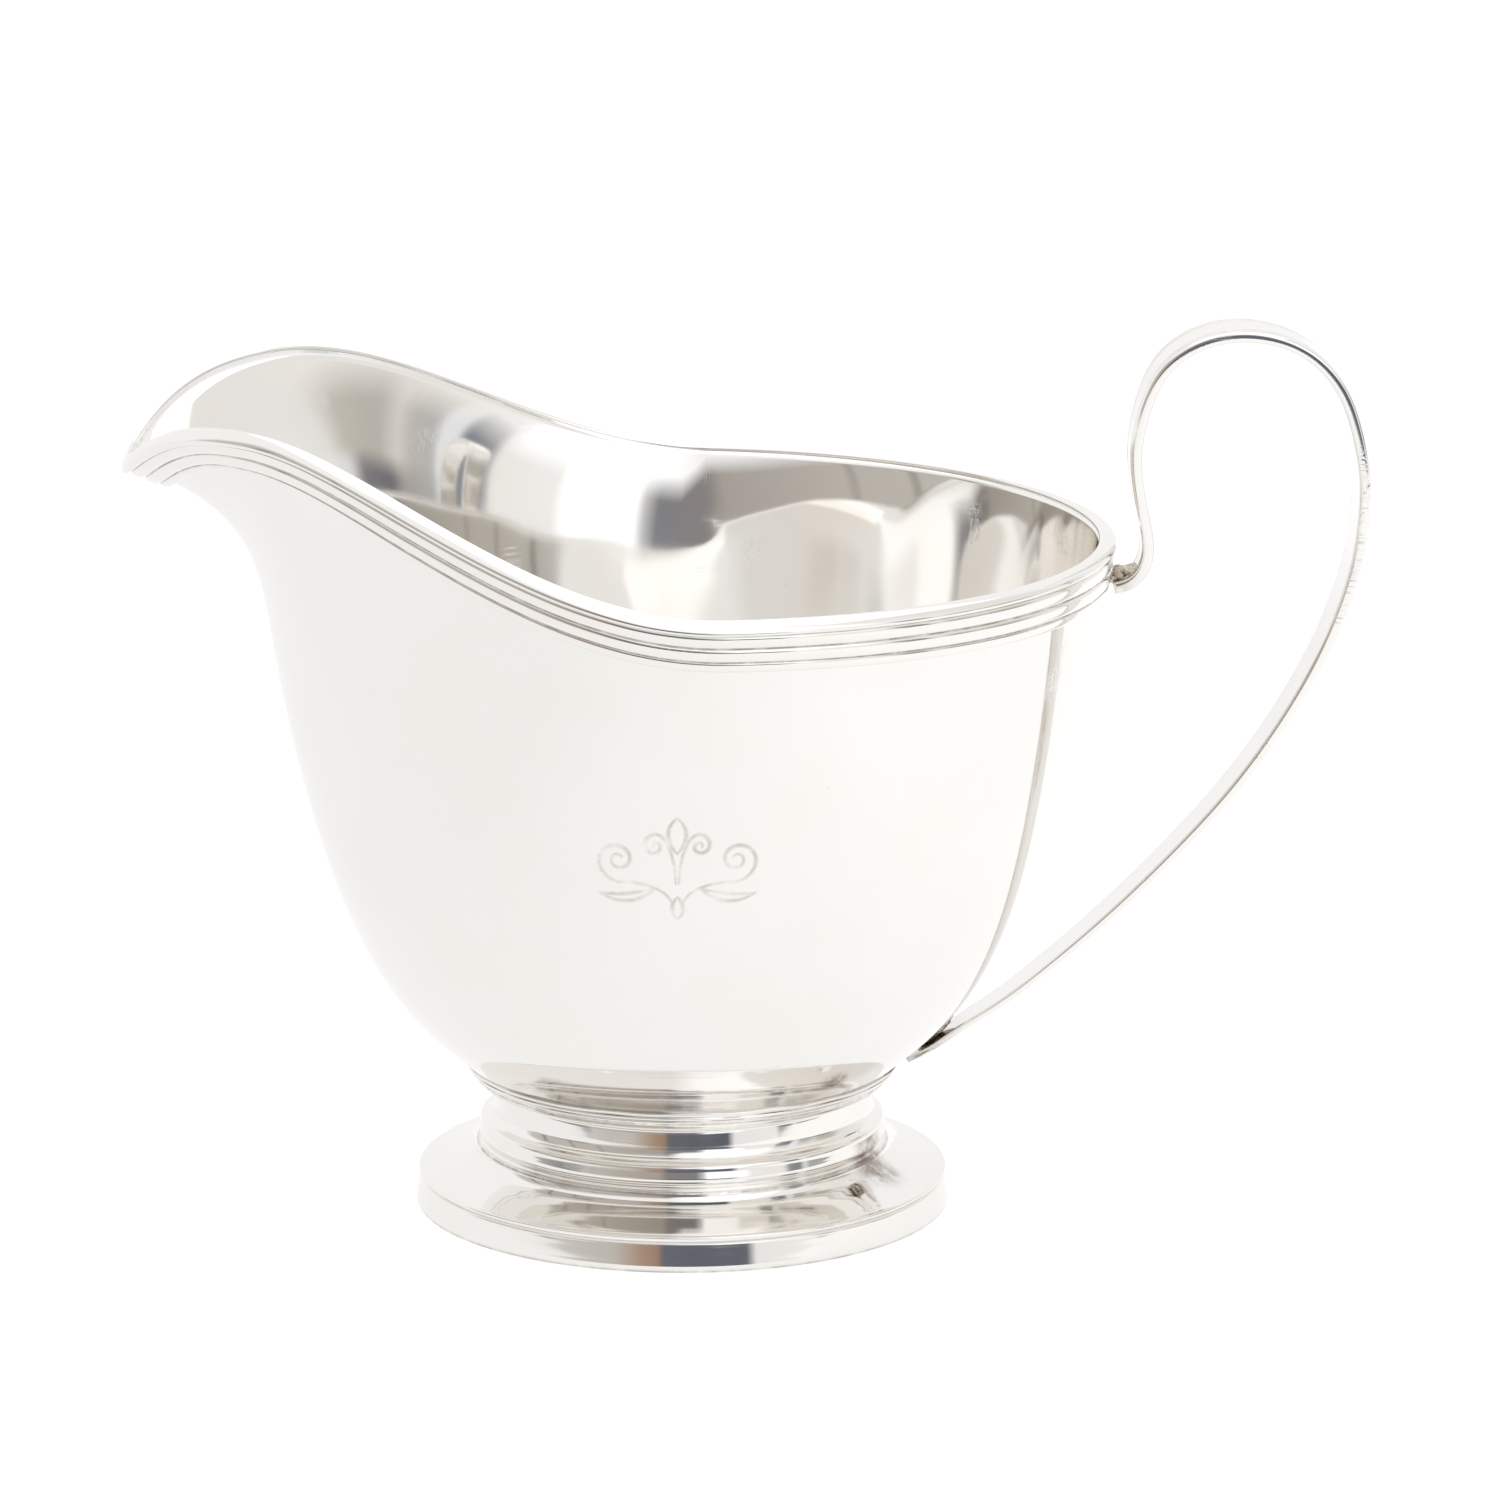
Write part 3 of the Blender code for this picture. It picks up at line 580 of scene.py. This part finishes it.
def base_ring():
    """The plain band under the flange: a rounded section whose outer face leans in towards the top."""
    knots = [(28.75, 0.0), (29.6, 0.0), (29.9, 0.06), (29.99, 0.25), (29.98, 0.6), (29.91, 1.05)]
    knots += [(29.82, 1.6), (29.71, 2.25), (29.6, 2.9), (29.54, 3.15), (29.34, 3.3)]
    back = [[28.9, 3.3], [28.6, 3.1], [28.6, 1.6], [28.6, 0.2]]
    profile = np.vstack([smooth_path(knots, 5), back]) * MM
    angles = np.linspace(0.0, 2 * math.pi, FOOT_COLUMNS, endpoint=False)
    points = turned(profile, angles)
    points[..., :2] *= (1 + ripple(points, 14.0 * MM, 0.0003, 17))[..., None]
    shade = 0.9 * np.exp(-((profile[:, 1, None] / (0.25 * MM)) ** 2)) + 0 * angles
    return piece(
        "base_band", points, "foot_base_ring", foot_silver, wrap_rows=True, tarnish=shade
    )


def foot_seam():
    """The thin line of solder between bowl and lip: a small section whose lower side wanders."""
    wall = bowl_offset(np.array([24.5, 24.2, 23.6]) * MM, 0.02 * MM) / MM
    below = wall + [[0.02, -0.1], [0.0, -0.34], [0.1, -0.3]]
    profile = np.vstack([wall, below]) * MM
    angles = np.linspace(0.0, 2 * math.pi, FOOT_COLUMNS, endpoint=False)
    points = turned(profile, angles)
    swell = ripple(points, 5.0 * MM, 0.03 * MM, 23)
    points[..., 2] += np.where(np.arange(len(profile))[:, None] > 2, swell, 0.0)
    return piece("seat_solder", points, "foot_solder_seam", seam_silver, wrap_rows=True)


# ---------------------------------------------------------------- handle

STRAP_KNOTS = [
    # reach, height, share of full width, share of full thickness
    (47.8, 70.4, 0.50, 1.00),
    (49.3, 70.5, 0.52, 1.00),
    (50.8, 71.9, 0.55, 1.00),
    (51.6, 74.8, 0.60, 1.00),
    (50.3, 81.6, 0.70, 0.95),
    (50.0, 86.8, 0.80, 0.95),
    (52.1, 94.0, 0.92, 0.95),
    (56.0, 97.7, 0.98, 0.95),
    (61.7, 99.0, 1.00, 0.95),
    (68.0, 97.4, 1.00, 0.95),
    (72.5, 92.8, 0.99, 1.00),
    (74.8, 85.5, 0.97, 1.00),
    (75.2, 80.0, 0.95, 1.00),
    (74.0, 71.6, 0.90, 1.00),
    (69.7, 60.7, 0.82, 0.95),
    (61.6, 48.1, 0.76, 0.85),
    (50.0, 35.4, 0.70, 0.70),
    (38.2, 24.9, 0.62, 0.60),
    (31.2, 20.0, 0.54, 0.55),
    (27.6, 17.3, 0.42, 0.50),
    (25.3, 15.9, 0.20, 0.40),
]
THREADS, THREAD_WIDTH = (-0.80, -0.60, 0.60, 0.80), 0.035


def threads_at(across):
    """How far into a thread each place across the strap lies, from 0 to 1: a bell curve at each thread."""
    return sum(np.exp(-(((across - thread) / THREAD_WIDTH) ** 2)) for thread in THREADS)


def strap_section():
    """The strap's outline in half widths and half thicknesses: a flat inner face and a threaded outer one."""
    across = np.linspace(-0.93, 0.93, 75)
    outer = np.column_stack([across, 1.0 - 0.03 * across**2 - 0.16 * threads_at(across)])
    edge = [(0.93, 0.97), (0.975, 0.80), (1.0, 0.45), (1.0, -0.45), (0.975, -0.82), (0.93, -1.0)]
    right = smooth_path(edge, 4)[1:-1]
    inner = np.column_stack([np.linspace(0.93, -0.93, 15), np.full(15, -1.0)])
    left = right[::-1] * [-1.0, 1.0]
    return np.vstack([outer, right, inner, left])


def strap():
    """The handle: its section carried square to a smooth path, as wide and thick as the knots say."""
    path = relaxed(evened(smooth_path(STRAP_KNOTS, 24), 520), 5)
    along = np.gradient(path[:, :2], axis=0)
    along /= np.linalg.norm(along, axis=1)[:, None]
    outward = np.stack([-along[:, 1], along[:, 0]], axis=1)
    section = strap_section()
    level = 0.5 * STRAP_THICK / MM * path[:, 3, None] * section[None, :, 1]
    x = path[:, 0, None] + outward[:, 0, None] * level
    z = path[:, 1, None] + outward[:, 1, None] * level
    y = 0.5 * STRAP_WIDTH / MM * path[:, 2, None] * section[None, :, 0]
    points = np.stack([x, y, z], axis=-1) * MM
    points = points + ripple(points, 11.0 * MM, 0.010 * MM, 31)[..., None] * [0.6, 0.5, 0.6]
    cut = threads_at(section[:, 0]) * (section[:, 1] > 0.5)
    worn_out = 0.25 + 0.75 * np.exp(-(((np.arange(len(path)) / len(path) - 0.24) / 0.09) ** 2))
    shade = 0.7 * cut[None, :] * worn_out[:, None]
    near_solder = np.exp(-(((path[:, 0] - 48.0) ** 2 + (path[:, 1] - 71.5) ** 2) / 3.0))
    near_bowl = np.exp(-(((path[:, 0] - 27.5) / 3.0) ** 2)) * (path[:, 1] < 30)
    shade = shade + (0.55 * near_solder + 0.5 * near_bowl)[:, None]
    return piece("strap_handle", points, "handle", handle_silver, tarnish=shade)


def lump(name, node, middle, lean, sizes, seed):
    """A bead of solder: an ellipsoid whose radius follows two waves of noise, leaned in the jug's plane."""
    polar = np.linspace(0.04, math.pi - 0.04, 60)[:, None]
    around = np.linspace(0.0, 2 * math.pi, 72, endpoint=False)[None, :]
    sides = [np.cos(polar) + 0 * around, np.sin(polar) * np.cos(around), np.sin(polar) * np.sin(around)]
    ball = np.stack(sides, axis=-1)
    swell = 1 + ripple(ball, 1.1, 0.13, seed) + ripple(ball, 0.4, 0.05, seed + 1)
    shape = ball * swell[..., None] * np.array(sizes)
    turn = math.radians(lean)
    x = shape[..., 0] * math.cos(turn) - shape[..., 2] * math.sin(turn)
    z = shape[..., 0] * math.sin(turn) + shape[..., 2] * math.cos(turn)
    points = np.stack([x + middle[0], shape[..., 1], z + middle[1]], axis=-1) * MM
    return piece(name, points, node, solder)


bowl()
rim_moulding()
foot()
base_ring()
foot_seam()
strap()
lump("rim_solder", "upper_handle_solder", (49.0, 71.7), 12.0, (1.9, 1.9, 0.95), 41)
lump("belly_solder", "lower_handle_solder", (28.3, 19.6), 44.0, (2.9, 1.7, 0.95), 47)


# ---------------------------------------------------------------- studio


# The paper's glow rises from left to right under the jug; the camera sees no less than the last share
GLOW_LEFT, GLOW_RIGHT, GLOW_REACH, GLOW_SEEN = 0.87, 1.01, 0.10, 0.94


def floor():
    """A wide, pale, matt sheet of paper for the jug to stand on, which glows though it is no lamp: painted
    light that washes out the jug's shadow and, rising from left to right, brightens the bowl's reflection on
    that side.
    """
    mesh = bpy.data.meshes.new("glowing_paper_floor")
    wide, front = 6.0, -0.42
    corners = [(-wide, front, 0), (wide, front, 0), (wide, wide, 0), (-wide, wide, 0)]
    mesh.from_pydata(corners, [], [(0, 1, 2, 3)])
    paper, n, shader, place = new_material("glowing white paper")
    # Painted light: the floor's own glow ramps up from left to right under the jug, and camera rays see no
    # less than GLOW_SEEN of it
    right = n.add("ShaderNodeSeparateXYZ", {"Vector": place}).outputs["X"]
    inputs = {"Value": right, "From Min": -GLOW_REACH, "From Max": GLOW_REACH}
    inputs |= {"To Min": GLOW_LEFT, "To Max": GLOW_RIGHT}
    glow = n.add("ShaderNodeMapRange", inputs).outputs["Result"]
    seen = n.add("ShaderNodeLightPath").outputs["Is Camera Ray"]
    glow = n.math("MAXIMUM", glow, n.math("MULTIPLY", seen, GLOW_SEEN))
    paper.node_tree.links.new(glow, shader.inputs["Emission Strength"])
    shader.inputs["Base Color"].default_value = (0.10, 0.10, 0.10, 1.0)
    shader.inputs["Emission Color"].default_value = (1.0, 1.0, 1.0, 1.0)
    shader.inputs["Roughness"].default_value = 1.0
    shader.inputs["Specular IOR Level"].default_value = 0.0
    mesh.materials.append(paper)
    obj = bpy.data.objects.new("glowing_paper_floor", mesh)
    bpy.context.scene.collection.objects.link(obj)


# Degrees round from the camera's side, and the light's colour there: the room low down, the ground it
# stands on, and the ceiling
LOW_BANDS = [
    (-180, (1.0, 1.0, 1.0)),
    (-110, (1.0, 1.0, 1.0)),
    (-104, (0.62, 0.60, 0.57)),
    (-95, (0.56, 0.54, 0.50)),
    (-93, (0.22, 0.21, 0.20)),
    (-91, (0.56, 0.54, 0.50)),
    (-74, (0.56, 0.53, 0.49)),
    (-72.5, (0.25, 0.24, 0.22)),
    (-71, (0.55, 0.52, 0.48)),
    (-54, (0.53, 0.50, 0.46)),
    (-52.8, (0.28, 0.26, 0.24)),
    (-51.6, (0.53, 0.50, 0.46)),
    (-14, (0.42, 0.39, 0.36)),
    (-9, (0.27, 0.25, 0.25)),
    (7, (0.24, 0.24, 0.26)),
    (11, (0.60, 0.60, 0.60)),
    (14, (1.30, 1.32, 1.34)),
    (34, (1.28, 1.30, 1.32)),
    (38, (0.96, 0.96, 0.95)),
    (56, (0.92, 0.91, 0.88)),
    (58.5, (0.36, 0.36, 0.37)),
    (67, (0.22, 0.24, 0.28)),
    (69, (0.86, 0.88, 0.92)),
    (73, (0.86, 0.88, 0.92)),
    (75, (0.52, 0.52, 0.51)),
    (81, (0.54, 0.53, 0.51)),
    (86, (0.72, 0.70, 0.66)),
    (92, (0.52, 0.50, 0.47)),
    (103, (0.58, 0.55, 0.50)),
    (109, (0.84, 0.83, 0.81)),
    (145, (1.0, 1.0, 1.0)),
    (180, (1.0, 1.0, 1.0)),
]
GROUND_BANDS = [
    (-180, (1.0, 1.0, 1.0)),
    (-104, (0.95, 0.95, 0.95)),
    (-98, (0.55, 0.53, 0.50)),
    (-72, (0.30, 0.30, 0.31)),
    (-62, (0.34, 0.34, 0.35)),
    (-56, (0.62, 0.60, 0.57)),
    (-30, (0.56, 0.53, 0.49)),
    (-18, (0.42, 0.30, 0.22)),
    (-11, (0.36, 0.24, 0.17)),
    (-9, (0.14, 0.15, 0.18)),
    (27, (0.11, 0.12, 0.15)),
    (31, (0.90, 0.90, 0.90)),
    (58, (0.94, 0.94, 0.92)),
    (61, (0.30, 0.31, 0.33)),
    (68, (0.25, 0.26, 0.29)),
    (71, (0.86, 0.88, 0.92)),
    (74, (0.45, 0.45, 0.46)),
    (84, (0.40, 0.38, 0.36)),
    (88, (0.16, 0.16, 0.18)),
    (98, (0.22, 0.22, 0.24)),
    (103, (0.80, 0.80, 0.80)),
    (120, (0.97, 0.97, 0.97)),
    (180, (1.0, 1.0, 1.0)),
]
HIGH_BANDS = [
    (-180, (1.0, 1.0, 1.0)),
    (-10, (1.0, 1.0, 1.0)),
    (12, (1.25, 1.26, 1.28)),
    (52, (1.30, 1.32, 1.36)),
    (60, (0.98, 0.98, 0.98)),
    (98, (0.92, 0.89, 0.85)),
    (112, (0.88, 0.86, 0.84)),
    (139, (0.88, 0.88, 0.88)),
    (150, (1.0, 1.01, 1.02)),
    (180, (1.0, 1.01, 1.02)),
]


def banded(n, bearing, stops):
    """Colour by bearing, on a straight line between its stops."""
    bands = n.add("ShaderNodeValToRGB", {"Fac": bearing})
    ramp = bands.color_ramp.elements
    while len(ramp) > 1:
        ramp.remove(ramp[-1])
    for i, (degrees, color) in enumerate(stops):
        stop = ramp[0] if i == 0 else ramp.new((degrees + 180) / 360)
        stop.position = (degrees + 180) / 360
        stop.color = (*color, 1.0)
    return bands.outputs["Color"]


# Heights are sines of the angle above level; bearings run from 0 to 1, with 0.5 on the camera's side
GROUND_FADE = (0.045, 0.085)
CEILING_FADE = (0.24, 0.45)
TALL_WALL, TALL_WALL_FADE = 0.24, (0.472, 0.5)


def studio_light():
    """Soft white all round, and a dimmer room behind the camera: upright bands of grey, cream and white."""
    world = bpy.data.worlds.new("studio")
    bpy.context.scene.world = world
    world.use_nodes = True
    n = Nodes(world.node_tree)
    back = world.node_tree.nodes["Background"]
    place = n.add("ShaderNodeTexCoord").outputs["Generated"]
    split = n.add("ShaderNodeSeparateXYZ", {"Vector": place})
    bearing = n.math("ARCTAN2", split.outputs["X"], n.math("MULTIPLY", split.outputs["Y"], -1.0))
    bearing = n.ramp(bearing, -math.pi, math.pi)
    low = banded(n, bearing, LOW_BANDS)
    high = banded(n, bearing, HIGH_BANDS)
    height = split.outputs["Z"]
    low = n.mix(n.ramp(height, *GROUND_FADE), banded(n, bearing, GROUND_BANDS), low)
    tall = n.math("MULTIPLY", TALL_WALL, n.math("SUBTRACT", 1.0, n.ramp(bearing, *TALL_WALL_FADE)))
    light = n.mix(n.ramp(n.math("SUBTRACT", height, tall), *CEILING_FADE), low, high)
    seen = n.add("ShaderNodeLightPath").outputs["Is Camera Ray"]
    light = n.mix(seen, light, (1.0, 1.0, 1.0, 1.0))
    world.node_tree.links.new(light, back.inputs["Color"])
    back.inputs["Strength"].default_value = 1.0


LENS, LENS_SHIFT = 176.93, 0.0451
CAMERA_PLACE = (AXIS_X - 9.08 * MM, -799.95 * MM, 239.8 * MM)
CAMERA_DIP, CAMERA_TURN = 13.236, -0.65


def camera():
    """A long lens a little above the jug, turned very slightly to the handle's side."""
    data = bpy.data.cameras.new("camera")
    data.sensor_width = 36.0
    data.lens = LENS
    data.shift_x = LENS_SHIFT
    data.clip_start = 0.05
    data.clip_end = 30.0
    obj = bpy.data.objects.new("camera", data)
    bpy.context.scene.collection.objects.link(obj)
    obj.location = CAMERA_PLACE
    obj.rotation_euler = (math.radians(90.0 - CAMERA_DIP), 0.0, math.radians(CAMERA_TURN))
    bpy.context.scene.camera = obj


def lamp(name, place, aim, size, power):
    """A square soft box at a place, facing a point."""
    data = bpy.data.lights.new(name, "AREA")
    data.shape = "SQUARE"
    data.size = size
    data.energy = power
    obj = bpy.data.objects.new(name, data)
    bpy.context.scene.collection.objects.link(obj)
    obj.location = place
    away = np.array(place) - np.array(aim)
    away /= np.linalg.norm(away)
    obj.rotation_euler = (math.acos(away[2]), 0.0, math.atan2(away[0], -away[1]))


floor()
studio_light()
camera()
lamp("overhead softbox", (0.0, 0.5, 1.6), (0.0, 0.0, 0.0), 1.6, 3.0)
bpy.context.scene.view_settings.view_transform = "Standard"
bpy.context.scene.cycles.glossy_bounces = 12
